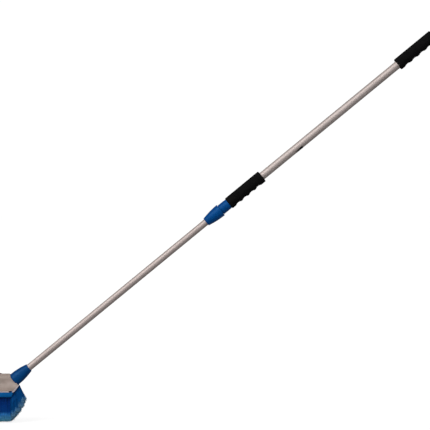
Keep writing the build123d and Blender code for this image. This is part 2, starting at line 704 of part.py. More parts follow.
def save(name, shapes):
    """Write one sub-part, a single solid or a group of like solids, to parts/."""
    shapes = shapes if isinstance(shapes, list) else [shapes]
    solids = [solid for shape in shapes for solid in shape.solids()]
    group = solids[0] if len(solids) == 1 else Compound(children=solids)
    group.label = name
    export_step(group, "parts/" + name + ".step")


def on_pole(shapes):
    shapes = shapes if isinstance(shapes, list) else [shapes]
    return [POLE * shape for shape in shapes]


POLE_PIECES = {
    "outer_tube": outer_tube,
    "inner_tube": inner_tube,
    "guide_bush": guide_bush,
    "bush_pins": bush_pins,
    "head_ferrule": ferrule,
    "ferrule_rivets": ferrule_rivets,
    "threaded_stud": threaded_stud,
    "lock_collar": lock_collar,
    "thrust_washer": thrust_washer,
    "lock_collet": lock_collet,
    "lock_sleeve": lock_sleeve,
    "sleeve_rivets": sleeve_rivets,
    "lower_grip": lower_grip,
    "upper_grip": upper_grip,
    "end_cap": end_cap,
    "plain_label": plain_label,
}

os.makedirs("parts", exist_ok=True)

for piece_name, make_piece in POLE_PIECES.items():
    save(piece_name, on_pole(make_piece()))

save("head_cover", head_cover())
save("socket_insert", socket_insert())
save("socket_plug", socket_plug())
save("bristle_block", bristle_block())
save("cover_screws", at_corners(SCREW_X, SCREW_Y, screw_shape()))
save("bristles_bottom", bristles_bottom())
save("bristles_front", bristles_front())
save("bristles_back", mirror(bristles_front(), about=Plane.XZ))
save("bristles_handle_end", bristles_handle_end())
save("bristles_far_end", mirror(bristles_handle_end(), about=Plane.YZ))

hole_along = OUTER_TUBE_END + CAP_FLANGE_LENGTH + CAP_EYE_LENGTH - CAP_EYE_WIDTH / 2
hole_x, hole_z = pole_point(hole_along, 0)
grip_x, grip_z = pole_point(LOWER_GRIP_AT + LOWER_GRIP_LENGTH / 2, 0)
collar_x, collar_z = pole_point(COLLAR_AT + COLLAR_LENGTH / 2, 0)
print("pole direction", round(cos(LEAN), 6), round(sin(LEAN), 6))
print("seat", round(SEAT_X, 3), SOCKET_HEIGHT)
print("hang hole", round(hole_x, 3), round(hole_z, 3))
print("grip middle", round(grip_x, 3), round(grip_z, 3))
print("collar middle", round(collar_x, 3), round(collar_z, 3))
print("slide travel in", round(INNER_TUBE_SHOWN, 1), "and out", TUBE_OVERLAP)
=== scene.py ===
import bmesh
import bpy
import json
import random
from math import atan2, cos, pi, radians, sin, sqrt
from mathutils import Matrix, Vector

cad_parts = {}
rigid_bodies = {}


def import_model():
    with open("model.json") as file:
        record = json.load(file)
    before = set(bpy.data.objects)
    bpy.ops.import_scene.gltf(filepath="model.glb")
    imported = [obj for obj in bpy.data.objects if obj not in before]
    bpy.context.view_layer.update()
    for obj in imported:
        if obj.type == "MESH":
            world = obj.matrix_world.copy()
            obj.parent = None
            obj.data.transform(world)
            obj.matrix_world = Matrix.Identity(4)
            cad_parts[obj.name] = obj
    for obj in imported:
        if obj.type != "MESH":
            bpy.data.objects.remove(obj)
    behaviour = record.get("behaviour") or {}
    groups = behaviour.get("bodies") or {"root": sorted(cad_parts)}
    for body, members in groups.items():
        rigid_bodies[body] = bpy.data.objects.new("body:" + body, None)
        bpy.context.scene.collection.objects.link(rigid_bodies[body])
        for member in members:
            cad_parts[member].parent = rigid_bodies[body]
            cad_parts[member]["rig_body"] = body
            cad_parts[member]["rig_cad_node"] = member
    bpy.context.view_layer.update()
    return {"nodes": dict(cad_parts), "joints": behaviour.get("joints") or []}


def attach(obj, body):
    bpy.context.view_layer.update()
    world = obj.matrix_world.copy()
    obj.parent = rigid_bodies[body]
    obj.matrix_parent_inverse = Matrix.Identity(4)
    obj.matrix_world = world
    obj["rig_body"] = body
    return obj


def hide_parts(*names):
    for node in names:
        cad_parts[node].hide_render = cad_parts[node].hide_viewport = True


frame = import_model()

# ---- Studio ----
# Pale floor that runs out of sight and shows almost no shadow, a bright background, a broad light
# high on the left, weak ones in front and behind, and a long lens level with the pole's middle.
joints = {joint["name"]: joint for joint in frame["joints"]}
seat = Vector(joints["pole_turn"]["pos_m"])
pole_axis = Vector(joints["pole_turn"]["axis"]).normalized()

bpy.context.scene.view_settings.view_transform = "Standard"


def seen_and_lit(tree, seen, lit):
    """Shader that shows one brightness to the lens and gives another to the object."""
    ray = tree.nodes.new("ShaderNodeLightPath")
    mix = tree.nodes.new("ShaderNodeMixShader")
    tree.links.new(ray.outputs["Is Camera Ray"], mix.inputs["Fac"])
    tree.links.new(lit.outputs[0], mix.inputs[1])
    tree.links.new(seen.outputs[0], mix.inputs[2])
    return mix


world = bpy.data.worlds.new("studio_air")
bpy.context.scene.world = world
world.use_nodes = True
air = world.node_tree
air.nodes.clear()
bright = air.nodes.new("ShaderNodeBackground")
bright.inputs["Color"].default_value = (1.0, 1.0, 1.0, 1.0)
bright.inputs["Strength"].default_value = 1.02
dim = air.nodes.new("ShaderNodeBackground")
dim.inputs["Color"].default_value = (1.0, 0.985, 0.98, 1.0)
facing = air.nodes.new("ShaderNodeTexCoord")
axes = air.nodes.new("ShaderNodeSeparateXYZ")
air.links.new(facing.outputs["Generated"], axes.inputs[0])
from_front = air.nodes.new("ShaderNodeMapRange")
from_front.inputs["From Min"].default_value = 0.9
from_front.inputs["From Max"].default_value = -0.9
from_front.inputs["To Min"].default_value = 0.06
from_front.inputs["To Max"].default_value = 0.46
air.links.new(axes.outputs["Y"], from_front.inputs["Value"])
air.links.new(from_front.outputs["Result"], dim.inputs["Strength"])
air_out = air.nodes.new("ShaderNodeOutputWorld")
air.links.new(seen_and_lit(air, bright, dim).outputs[0], air_out.inputs["Surface"])

bpy.ops.object.select_all(action="DESELECT")
bpy.ops.mesh.primitive_plane_add(size=600.0, location=(0.0, 0.0, -0.0006))
floor = bpy.context.active_object
floor.name = "studio_floor"
floor_paint = bpy.data.materials.new("pale_floor")
floor_paint.use_nodes = True
paint = floor_paint.node_tree
paint.nodes.clear()
glow = paint.nodes.new("ShaderNodeEmission")
glow.inputs["Strength"].default_value = 0.88
matt = paint.nodes.new("ShaderNodeBsdfDiffuse")
matt.inputs["Color"].default_value = (0.2, 0.2, 0.2, 1.0)
both = paint.nodes.new("ShaderNodeAddShader")
paint.links.new(glow.outputs[0], both.inputs[0])
paint.links.new(matt.outputs[0], both.inputs[1])
grey = paint.nodes.new("ShaderNodeBsdfDiffuse")
grey.inputs["Color"].default_value = (0.3, 0.3, 0.3, 1.0)
floor_out = paint.nodes.new("ShaderNodeOutputMaterial")
paint.links.new(seen_and_lit(paint, both, grey).outputs[0], floor_out.inputs["Surface"])
floor.data.materials.append(floor_paint)


def sun(name, towards, strength, spread, tint):
    """Broad light from one side, even along the whole pole."""
    lamp = bpy.data.lights.new(name, "SUN")
    lamp.energy = strength
    lamp.angle = radians(spread)
    lamp.color = tint
    holder = bpy.data.objects.new(name, lamp)
    holder.rotation_mode = "QUATERNION"
    holder.rotation_quaternion = Vector(towards).to_track_quat("Z", "Y")
    bpy.context.scene.collection.objects.link(holder)


sun("key_light", (-0.5, -0.6, 0.62), 1.9, 40.0, (1.0, 0.985, 0.97))
sun("front_fill", (0.35, -0.9, 0.25), 0.8, 70.0, (0.97, 0.98, 1.0))
sun("back_fill", (0.25, 0.95, 0.2), 1.0, 60.0, (1.0, 1.0, 1.0))

VIEW_WIDTH = 1.34375
lens = bpy.data.cameras.new("long_lens")
lens.sensor_width = 36.0
lens.lens = 170.0
lens_stand = bpy.data.objects.new("long_lens", lens)
lens_away = VIEW_WIDTH * lens.lens / lens.sensor_width
lens_stand.location = (seat.x + 0.62935, -lens_away, seat.z + 0.51625)
lens_stand.rotation_euler = (radians(90.0), 0.0, 0.0)
lens.clip_end = 1200.0
bpy.context.scene.collection.objects.link(lens_stand)
bpy.context.scene.camera = lens_stand

# ---- Inner tube ----
# Thin drawn aluminium tube, anodised a warm silver, with fine lengthwise draw lines and a faintly
# cloudy tone. It carries the head below and the guide bush above.
pole_frame = Matrix.Translation(seat) @ Matrix.Rotation(atan2(pole_axis.x, pole_axis.z), 4, "Y")


def pole_span(node):
    """Lowest and highest place of a CAD node, measured along the pole from the seat."""
    places = [(v.co - seat).dot(pole_axis) for v in frame["nodes"][node].data.vertices]
    return min(places), max(places)


def pick(piece):
    """Leave one piece selected and active."""
    bpy.ops.object.select_all(action="DESELECT")
    piece.select_set(True)
    bpy.context.view_layer.objects.active = piece


def turned(name, rings, sides=96):
    """Piece drawn up from a ring of edges, one extrude for each height and radius."""
    height, radius = rings[0]
    bpy.ops.object.select_all(action="DESELECT")
    bpy.ops.mesh.primitive_circle_add(vertices=sides, radius=radius)
    piece = bpy.context.active_object
    piece.name = name
    bpy.ops.object.mode_set(mode="EDIT")
    bpy.ops.mesh.select_all(action="SELECT")
    bpy.ops.transform.translate(value=(0.0, 0.0, height))
    for next_height, next_radius in rings[1:]:
        rise = (0.0, 0.0, next_height - height)
        bpy.ops.mesh.extrude_edges_move(TRANSFORM_OT_translate={"value": rise})
        grow = next_radius / radius
        bpy.ops.transform.resize(value=(grow, grow, 1.0), center_override=(0.0, 0.0, next_height))
        height, radius = next_height, next_radius
    bpy.ops.mesh.select_all(action="SELECT")
    bpy.ops.mesh.remove_doubles(threshold=0.000001)
    bpy.ops.mesh.normals_make_consistent(inside=False)
    bpy.ops.object.mode_set(mode="OBJECT")
    return piece


def lay_on_pole(piece):
    """Turn an upright piece onto the pole and leave its object at the origin."""
    pick(piece)
    piece.matrix_world = pole_frame
    bpy.ops.object.transform_apply(location=True, rotation=True, scale=True)
    bpy.ops.object.shade_smooth_by_angle(angle=radians(35.0))


def tube_rings(low, high, outer, bore, ease):
    """Rings of a plain tube with its end edges broken."""
    return [
        (low, bore),
        (low, outer - ease),
        (low + ease, outer),
        (high - ease, outer),
        (high, outer - ease),
        (high, bore),
        (low, bore),
    ]


def blank_material(name):
    """New material, its node tree and its shader."""
    material = bpy.data.materials.new(name)
    material.use_nodes = True
    tree = material.node_tree
    shader = tree.nodes["Principled BSDF"]
    return material, tree, shader


def pole_coordinates(tree, stretch=(1.0, 1.0, 1.0)):
    """Object coordinates turned so that Z runs up the pole, then stretched."""
    place = tree.nodes.new("ShaderNodeTexCoord")
    turn = tree.nodes.new("ShaderNodeMapping")
    turn.vector_type = "TEXTURE"
    turn.inputs["Location"].default_value = seat
    turn.inputs["Rotation"].default_value = pole_frame.to_euler()
    tree.links.new(place.outputs["Object"], turn.inputs["Vector"])
    scale = tree.nodes.new("ShaderNodeMapping")
    scale.inputs["Scale"].default_value = stretch
    tree.links.new(turn.outputs[0], scale.inputs["Vector"])
    return scale.outputs[0]


def noise(tree, where, scale, detail=3.0, roughness=0.55):
    """Cloudy 0 to 1 pattern at a scale."""
    grain = tree.nodes.new("ShaderNodeTexNoise")
    grain.inputs["Scale"].default_value = scale
    grain.inputs["Detail"].default_value = detail
    grain.inputs["Roughness"].default_value = roughness
    tree.links.new(where, grain.inputs["Vector"])
    return grain.outputs["Fac"]


def ramp(tree, factor, stops):
    """Colour ramp from places and colours."""
    node = tree.nodes.new("ShaderNodeValToRGB")
    node.color_ramp.elements[0].position = stops[0][0]
    node.color_ramp.elements[0].color = (*stops[0][1], 1.0)
    node.color_ramp.elements[1].position = stops[-1][0]
    node.color_ramp.elements[1].color = (*stops[-1][1], 1.0)
    for position, colour in stops[1:-1]:
        node.color_ramp.elements.new(position).color = (*colour, 1.0)
    tree.links.new(factor, node.inputs["Fac"])
    return node.outputs["Color"]


def spread(tree, factor, low, high):
    """Map a 0 to 1 factor to a range of values."""
    node = tree.nodes.new("ShaderNodeMapRange")
    node.inputs["To Min"].default_value = low
    node.inputs["To Max"].default_value = high
    tree.links.new(factor, node.inputs["Value"])
    return node.outputs["Result"]


def bump(tree, height, strength, distance, under=None):
    """Surface relief from a pattern, laid over a coarser relief if one is given."""
    node = tree.nodes.new("ShaderNodeBump")
    node.inputs["Strength"].default_value = strength
    node.inputs["Distance"].default_value = distance
    tree.links.new(height, node.inputs["Height"])
    if under is not None:
        tree.links.new(under, node.inputs["Normal"])
    return node.outputs["Normal"]


def anodised_aluminium(name, pale, dull):
    """Satin anodised tube with draw lines along it and a cloudy tone."""
    material, tree, shader = blank_material(name)
    lines = noise(tree, pole_coordinates(tree, (1.0, 1.0, 0.012)), 1400.0, 4.0)
    cloud = noise(tree, pole_coordinates(tree, (1.0, 1.0, 0.2)), 45.0)
    tree.links.new(ramp(tree, cloud, [(0.3, dull), (0.7, pale)]), shader.inputs["Base Color"])
    tree.links.new(spread(tree, lines, 0.48, 0.62), shader.inputs["Roughness"])
    tree.links.new(bump(tree, lines, 0.25, 0.00005), shader.inputs["Normal"])
    shader.inputs["Metallic"].default_value = 0.5
    shader.inputs["Anisotropic"].default_value = 0.35
    return material


tube_finish = anodised_aluminium("anodised_aluminium", (0.5, 0.43, 0.41), (0.44, 0.375, 0.355))

INNER_TUBE_RADIUS = 0.0106
INNER_TUBE_BORE = 0.0096
TUBE_EASE = 0.0002
low, high = pole_span("inner_tube")
inner_tube = turned(
    "inner_tube_drawn", tube_rings(low, high, INNER_TUBE_RADIUS, INNER_TUBE_BORE, TUBE_EASE)
)
lay_on_pole(inner_tube)
inner_tube.data.materials.append(tube_finish)
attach(inner_tube, "brush")
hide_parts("inner_tube")

# ---- Guide bush and its pins ----
# White acetal bush on the upper end of the inner tube, with a spigot inside it. Two steel pins
# through the tube stand in the spigot's groove, so the tube can turn in the bush.


def cad_finish(node, material):
    """Give a CAD node a better material."""
    node_object = frame["nodes"][node]
    node_object.data.materials.clear()
    node_object.data.materials.append(material)


def white_acetal():
    """Machined white plastic, faintly mottled."""
    material, tree, shader = blank_material("white_acetal")
    mottle = noise(tree, pole_coordinates(tree), 160.0)
    tones = ramp(tree, mottle, [(0.3, (0.74, 0.73, 0.69)), (0.7, (0.84, 0.83, 0.8))])
    tree.links.new(tones, shader.inputs["Base Color"])
    tree.links.new(spread(tree, mottle, 0.35, 0.5), shader.inputs["Roughness"])
    return material


def bright_steel():
    """Zinc-plated steel with a fine brushed grain."""
    material, tree, shader = blank_material("bright_steel")
    grain = noise(tree, pole_coordinates(tree, (0.2, 1.0, 1.0)), 900.0)
    tones = ramp(tree, grain, [(0.3, (0.5, 0.5, 0.51)), (0.7, (0.62, 0.62, 0.63))])
    tree.links.new(tones, shader.inputs["Base Color"])
    tree.links.new(spread(tree, grain, 0.22, 0.4), shader.inputs["Roughness"])
    shader.inputs["Metallic"].default_value = 1.0
    return material


acetal = white_acetal()
steel = bright_steel()
cad_finish("guide_bush", acetal)
cad_finish("bush_pins", steel)

# ---- Ferrule ----
# Bell-shaped ferrule of blue moulded plastic, pressed on the lower end of the inner tube over the
# threaded stud's body and held by two steel rivets. Its wide rim sits on the head.


def round_corner(height, radius, round_by, start, end, steps=5):
    """Rings of a rounded corner about a centre, from one angle to another in degrees."""
    turns = [radians(start + (end - start) * step / steps) for step in range(steps + 1)]
    return [(height + round_by * sin(turn), radius + round_by * cos(turn)) for turn in turns]


def blue_plastic(name, deep, light, grain_size=2200.0):
    """Glossy injection-moulded plastic with a soft swirl of tone and a very fine skin."""
    material, tree, shader = blank_material(name)
    swirl = noise(tree, pole_coordinates(tree, (1.0, 1.0, 0.45)), 38.0, 5.0)
    tree.links.new(ramp(tree, swirl, [(0.32, deep), (0.68, light)]), shader.inputs["Base Color"])
    skin = noise(tree, pole_coordinates(tree), grain_size, 2.0)
    scuff = noise(tree, pole_coordinates(tree, (1.0, 1.0, 0.3)), 240.0, 6.0)
    tree.links.new(spread(tree, scuff, 0.32, 0.48), shader.inputs["Roughness"])
    tree.links.new(bump(tree, skin, 0.12, 0.00003), shader.inputs["Normal"])
    shader.inputs["Specular IOR Level"].default_value = 0.22
    shader.inputs["Specular Tint"].default_value = (0.25, 0.62, 1.0, 1.0)
    return material


blue = blue_plastic("blue_plastic", (0.0004, 0.047, 0.2), (0.0008, 0.068, 0.27))

FERRULE_RIM = 0.0205
FERRULE_ROUND = 0.0035
FERRULE_NOSE = 0.01335
FERRULE_STRAIGHT = 0.015
FERRULE_BOWING = 1.6
FERRULE_BOW_STEPS = 18
FERRULE_NOSE_EDGE = 0.0008
STUD_BORE = 0.0121
STUD_BORE_DEPTH = 0.024
FERRULE_FACE = 0.015
PRESS_GAP = 0.0001
low, high = pole_span("head_ferrule")
bow_length = high - FERRULE_NOSE_EDGE - FERRULE_STRAIGHT
bow = []
for step in range(1, FERRULE_BOW_STEPS + 1):
    part_way = step / FERRULE_BOW_STEPS
    drop = (FERRULE_RIM - FERRULE_NOSE) * part_way**FERRULE_BOWING
    bow.append((FERRULE_STRAIGHT + bow_length * part_way, FERRULE_RIM - drop))
flat = FERRULE_RIM - FERRULE_ROUND
ferrule_rings = [(low, STUD_BORE), (low, FERRULE_FACE)]
ferrule_rings += round_corner(low + FERRULE_ROUND, flat, FERRULE_ROUND, -90, 0, 8)
ferrule_rings += [(FERRULE_STRAIGHT, FERRULE_RIM)] + bow
ferrule_rings += [
    (high - 0.0002, FERRULE_NOSE - 0.0004),
    (high, FERRULE_NOSE - 0.0009),
    (high, INNER_TUBE_RADIUS + 0.0009),
    (high - FERRULE_NOSE_EDGE, INNER_TUBE_RADIUS + PRESS_GAP),
    (low + STUD_BORE_DEPTH, INNER_TUBE_RADIUS + PRESS_GAP),
    (low + STUD_BORE_DEPTH, STUD_BORE),
    (low, STUD_BORE),
]
ferrule = turned("ferrule_moulded", ferrule_rings)
lay_on_pole(ferrule)
ferrule.data.materials.append(
    blue_plastic("blue_plastic_ferrule", (0.0004, 0.036, 0.145), (0.0008, 0.056, 0.21))
)
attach(ferrule, "brush")
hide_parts("head_ferrule")
cad_finish("threaded_stud", acetal)
cad_finish("ferrule_rivets", steel)

# ---- Outer tube and label ----
# Thicker drawn aluminium tube of the same finish. A plain dark film label is stuck round its
# ground side between the grips.
OUTER_TUBE_RADIUS = 0.0125
OUTER_TUBE_BORE = 0.0115
outer_finish = anodised_aluminium(
    "anodised_aluminium_outer", (0.52, 0.455, 0.435), (0.45, 0.39, 0.37)
)
low, high = pole_span("outer_tube")
outer_tube = turned(
    "outer_tube_drawn", tube_rings(low, high, OUTER_TUBE_RADIUS, OUTER_TUBE_BORE, TUBE_EASE)
)
lay_on_pole(outer_tube)
outer_tube.data.materials.append(outer_finish)
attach(outer_tube, "handle")
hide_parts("outer_tube")


def label_film():
    """Printed film, black at its upper end and fading to grey, with a satin face."""
    material, tree, shader = blank_material("label_film")
    where = pole_coordinates(tree)
    split = tree.nodes.new("ShaderNodeSeparateXYZ")
    tree.links.new(where, split.inputs[0])
    label_low, label_high = pole_span("plain_label")
    fade = tree.nodes.new("ShaderNodeMapRange")
    fade.inputs["From Min"].default_value = label_low
    fade.inputs["From Max"].default_value = label_high
    tree.links.new(split.outputs["Z"], fade.inputs["Value"])
    fleck = noise(tree, where, 420.0, 4.0)
    print_stops = [
        (0.0, (0.2, 0.17, 0.16)),
        (0.45, (0.05, 0.045, 0.045)),
        (0.7, (0.004, 0.004, 0.004)),
    ]
    tones = ramp(tree, fade.outputs["Result"], print_stops)
    tree.links.new(tones, shader.inputs["Base Color"])
    shader.inputs["Specular IOR Level"].default_value = 0.2
    tree.links.new(spread(tree, fleck, 0.3, 0.5), shader.inputs["Roughness"])
    return material


cad_finish("plain_label", label_film())

# ---- Lock sleeve ----
# Blue moulded sleeve pressed and riveted on the lower end of the outer tube. Its thinner lower
# end, hidden in the collar, has the thread and the tapered seat for the collet.
SLEEVE_THREAD = 0.0156
SLEEVE_LOW = 0.0171
SLEEVE_HIGH = 0.0165
SLEEVE_SHOWN = 0.031
SLEEVE_ROUND = 0.0006
SLEEVE_MOUTH = 0.0135
SLEEVE_BORE = 0.011
TAPER_LENGTH = 0.012
SHOULDER_DEPTH = 0.02
THREAD_LEAD = 0.003
THREAD_DEPTH = 0.0008
THREAD_CREST = 0.0006
THREAD_FIRST = 0.0012
THREAD_UNUSED = 0.004
low, high = pole_span("lock_sleeve")
body_at = high - SLEEVE_SHOWN
thread_root = SLEEVE_THREAD - THREAD_DEPTH
sleeve_rings = [(low, SLEEVE_MOUTH), (low, thread_root)]
turns = int((body_at - low - THREAD_UNUSED) / THREAD_LEAD)
for thread in range(turns):
    foot = low + THREAD_FIRST + thread * THREAD_LEAD
    sleeve_rings += [
        (foot, thread_root),
        (foot + THREAD_DEPTH, SLEEVE_THREAD),
        (foot + THREAD_DEPTH + THREAD_CREST, SLEEVE_THREAD),
        (foot + 2 * THREAD_DEPTH + THREAD_CREST, thread_root),
    ]
sleeve_rings += [(body_at, thread_root)]
low_flat = SLEEVE_LOW - SLEEVE_ROUND
high_flat = SLEEVE_HIGH - SLEEVE_ROUND
sleeve_rings += round_corner(body_at + SLEEVE_ROUND, low_flat, SLEEVE_ROUND, -90, 0, 3)
sleeve_rings += round_corner(high - SLEEVE_ROUND, high_flat, SLEEVE_ROUND, 0, 90, 3)
sleeve_rings += [
    (high, OUTER_TUBE_RADIUS + PRESS_GAP),
    (low + SHOULDER_DEPTH, OUTER_TUBE_RADIUS + PRESS_GAP),
    (low + SHOULDER_DEPTH, SLEEVE_BORE),
    (low + TAPER_LENGTH, SLEEVE_BORE),
    (low, SLEEVE_MOUTH),
]
sleeve = turned("sleeve_moulded", sleeve_rings)
lay_on_pole(sleeve)
sleeve.data.materials.append(blue)
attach(sleeve, "handle")
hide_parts("lock_sleeve")
cad_finish("sleeve_rivets", steel)

# ---- Collet and thrust washer ----
# Split white acetal collet that the collar squeezes on the inner tube, and the steel washer that
# pushes it. Both sit inside the collar and don't turn.
cad_finish("lock_collet", acetal)
cad_finish("thrust_washer", steel)

# ---- Lock collar ----
# Blue moulded collar, turned by hand to lock the telescope. It swells from a narrow nose to a
# thick rim, and overhangs the sleeve.
COLLAR_NOSE = 0.01375
COLLAR_SWELL = 0.0201
COLLAR_RIM = 0.0206
COLLAR_NOSE_ROUND = 0.0008
COLLAR_RIM_ROUND = 0.0006
COLLAR_BOWING = 1.55
COLLAR_BOW_STEPS = 20
COLLAR_BOW_SHARE = 0.78
TUBE_HOLE = 0.01095
COLLET_BORE = 0.0132
COLLET_LEDGE = 0.006
THREAD_BORE = 0.01595
THREAD_STOP = 0.0225
low, high = pole_span("lock_collar")
length = high - low
nose_flat = COLLAR_NOSE - COLLAR_NOSE_ROUND
collar_rings = [(low + COLLET_LEDGE, COLLET_BORE), (low + COLLET_LEDGE, TUBE_HOLE)]
collar_rings += [(low, TUBE_HOLE), (low, nose_flat)]
collar_rings += round_corner(low + COLLAR_NOSE_ROUND, nose_flat, COLLAR_NOSE_ROUND, -80, 0, 3)
for step in range(1, COLLAR_BOW_STEPS + 1):
    part_way = step / COLLAR_BOW_STEPS
    swell = (COLLAR_SWELL - COLLAR_NOSE) * (1 - (1 - part_way) ** COLLAR_BOWING)
    place = low + COLLAR_NOSE_ROUND + length * COLLAR_BOW_SHARE * part_way
    collar_rings.append((place, COLLAR_NOSE + swell))
collar_rings += [(low + length * 0.86, COLLAR_SWELL + 0.0002), (low + length * 0.93, COLLAR_RIM)]
rim_flat = COLLAR_RIM - COLLAR_RIM_ROUND
collar_rings += round_corner(high - COLLAR_RIM_ROUND, rim_flat, COLLAR_RIM_ROUND, 0, 90, 4)
collar_rings += [
    (high, THREAD_BORE + 0.0005),
    (high - 0.0005, THREAD_BORE),
    (low + THREAD_STOP, THREAD_BORE),
    (low + THREAD_STOP, COLLET_BORE),
    (low + COLLET_LEDGE, COLLET_BORE),
]
collar = turned("collar_moulded", collar_rings)
lay_on_pole(collar)
collar.data.materials.append(blue)
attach(collar, "collar")
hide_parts("lock_collar")

# ---- Foam grips ----
# Two tubes of black closed-cell foam pushed over the outer tube, with four finger grooves
# moulded in the side that faces the ground. The skin is matt, with fine open cells.
GRIP_RADIUS = 0.0196
GRIP_ROUND = 0.0028
GROOVE_FIRST = 0.0255
GROOVE_WIDTH = 0.0215
GROOVE_COUNT = 4
RING_PITCH = 0.0013


def black_foam():
    """Closed-cell foam: near-black, very matt, pitted all over."""
    material, tree, shader = blank_material("black_foam")
    where = pole_coordinates(tree)
    cells = tree.nodes.new("ShaderNodeTexVoronoi")
    cells.inputs["Scale"].default_value = 1300.0
    tree.links.new(where, cells.inputs["Vector"])
    waves = noise(tree, where, 260.0, 5.0)
    cloud = noise(tree, where, 60.0)
    tones = ramp(tree, cloud, [(0.3, (0.002, 0.002, 0.0023)), (0.72, (0.0052, 0.0046, 0.005))])
    tree.links.new(tones, shader.inputs["Base Color"])
    broad = bump(tree, waves, 0.5, 0.0004)
    fine = bump(tree, cells.outputs["Distance"], 0.7, 0.0004, broad)
    tree.links.new(fine, shader.inputs["Normal"])
    tree.links.new(spread(tree, waves, 0.82, 0.98), shader.inputs["Roughness"])
    shader.inputs["Specular IOR Level"].default_value = 0.1
    return material


def foam_grip(name, node, pitch, depth, material):
    """Foam tube with its finger grooves pressed in on the ground side, ring by ring."""
    low, high = pole_span(node)
    rings = [(low, OUTER_TUBE_RADIUS), (low, GRIP_RADIUS - GRIP_ROUND)]
    rings += round_corner(low + GRIP_ROUND, GRIP_RADIUS - GRIP_ROUND, GRIP_ROUND, -75, 0, 5)
    straight = high - low - 2 * GRIP_ROUND
    steps = round(straight / RING_PITCH)
    for step in range(1, steps):
        rings.append((low + GRIP_ROUND + straight * step / steps, GRIP_RADIUS))
    rings += round_corner(high - GRIP_ROUND, GRIP_RADIUS - GRIP_ROUND, GRIP_ROUND, 0, 75, 5)
    rings += [(high, GRIP_RADIUS - GRIP_ROUND), (high, OUTER_TUBE_RADIUS), (low, OUTER_TUBE_RADIUS)]
    grip = turned(name, rings, sides=120)
    bpy.ops.object.mode_set(mode="EDIT")
    mesh = bmesh.from_edit_mesh(grip.data)
    levels = {}
    for vertex in mesh.verts:
        if vertex.co.x > 0.001 and vertex.co.xy.length > GRIP_RADIUS - 0.0001:
            levels.setdefault(round(vertex.co.z, 6), []).append(vertex)
    for level, ring in levels.items():
        off = min(abs(level - low - GROOVE_FIRST - n * pitch) for n in range(GROOVE_COUNT))
        share = off / (GROOVE_WIDTH / 2)
        if share >= 1.0:
            continue
        bpy.ops.mesh.select_all(action="DESELECT")
        for vertex in ring:
            vertex.select = True
        mesh.select_flush(True)
        press = depth * (1 - share**2) / GRIP_RADIUS
        bpy.ops.transform.resize(value=(1 - press, 1, 1), center_override=(0.0, 0.0, level))
    bpy.ops.object.mode_set(mode="OBJECT")
    lay_on_pole(grip)
    grip.data.materials.append(material)
    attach(grip, "handle")
    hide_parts(node)


foam = black_foam()
foam_grip("lower_grip_foam", "lower_grip", pitch=0.0266, depth=0.0033, material=foam)
foam_grip("upper_grip_foam", "upper_grip", pitch=0.0286, depth=0.0027, material=foam)

# ---- End cap ----
# Black moulded plug pressed in the end of the outer tube, with a flat eye for hanging the pole
# on a hook. Its edges are rounded by the mould.


def softened_copy(node, name, round_by):
    """Copy of a CAD node with its loose triangles joined and its edges rounded."""
    pick(frame["nodes"][node])
    bpy.ops.object.duplicate()
    piece = bpy.context.active_object
    piece.name = name
    piece.parent = None
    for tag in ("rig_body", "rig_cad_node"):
        if tag in piece:
            del piece[tag]
    pick(piece)
    bpy.ops.object.mode_set(mode="EDIT")
    bpy.ops.mesh.select_all(action="SELECT")
    bpy.ops.mesh.remove_doubles(threshold=0.00001)
    bpy.ops.mesh.dissolve_limited(angle_limit=radians(1.0))
    bpy.ops.object.mode_set(mode="OBJECT")
    rounding = piece.modifiers.new("rounding", "BEVEL")
    rounding.width = round_by
    rounding.segments = 3
    rounding.limit_method = "ANGLE"
    rounding.angle_limit = radians(20.0)
    bpy.ops.object.modifier_apply(modifier="rounding")
    bpy.ops.object.shade_smooth_by_angle(angle=radians(35.0))
    return piece


def black_plastic():
    """Black moulded plastic with a fine spark-eroded skin."""
    material, tree, shader = blank_material("black_plastic")
    skin = noise(tree, pole_coordinates(tree), 1500.0, 3.0)
    tones = ramp(tree, skin, [(0.3, (0.006, 0.006, 0.0065)), (0.7, (0.013, 0.013, 0.014))])
    tree.links.new(tones, shader.inputs["Base Color"])
    tree.links.new(bump(tree, skin, 0.4, 0.0001), shader.inputs["Normal"])
    tree.links.new(spread(tree, skin, 0.45, 0.65), shader.inputs["Roughness"])
    return material


dark_plastic = black_plastic()
end_cap = softened_copy("end_cap", "end_cap_moulded", round_by=0.0006)
end_cap.data.materials.clear()
end_cap.data.materials.append(dark_plastic)
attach(end_cap, "handle")
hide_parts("end_cap")

# ---- Bristle block ----
# Blue moulded block that holds the tufts. Its rim shows under the cover, its lower edges are
# rounded, and a slanted wall at each end, shaped like the inside of the cover, carries tufts.
COVER_BASE = 0.094
COVER_HALF = 0.038
COVER_TOP = 0.15
LIP = 0.003
RIDGE_HALF = 0.017
FLANK_TOP = 0.124
FLANK_PULL = Vector((0.0211, 0.1041))
SLOPE_FROM = -0.015
SLOPE_TO = -0.125
FAR_SHARE = 0.436
SLOPE_EASE = 0.1
FORM_FROM = -0.14
FORM_TO = 0.145
FORM_STEPS = 28
SEAT_DEPTH = 0.003
END_BELOW_POLE = 0.024
END_SLOPE = radians(51.0)
across_pole = Vector((pole_axis.z, 0.0, -pole_axis.x))
end_edge = seat + pole_axis * SEAT_DEPTH + across_pole * END_BELOW_POLE
end_normal = Vector((sin(END_SLOPE), 0.0, -cos(END_SLOPE)))
mirrored = Vector((-1.0, 1.0, 1.0))


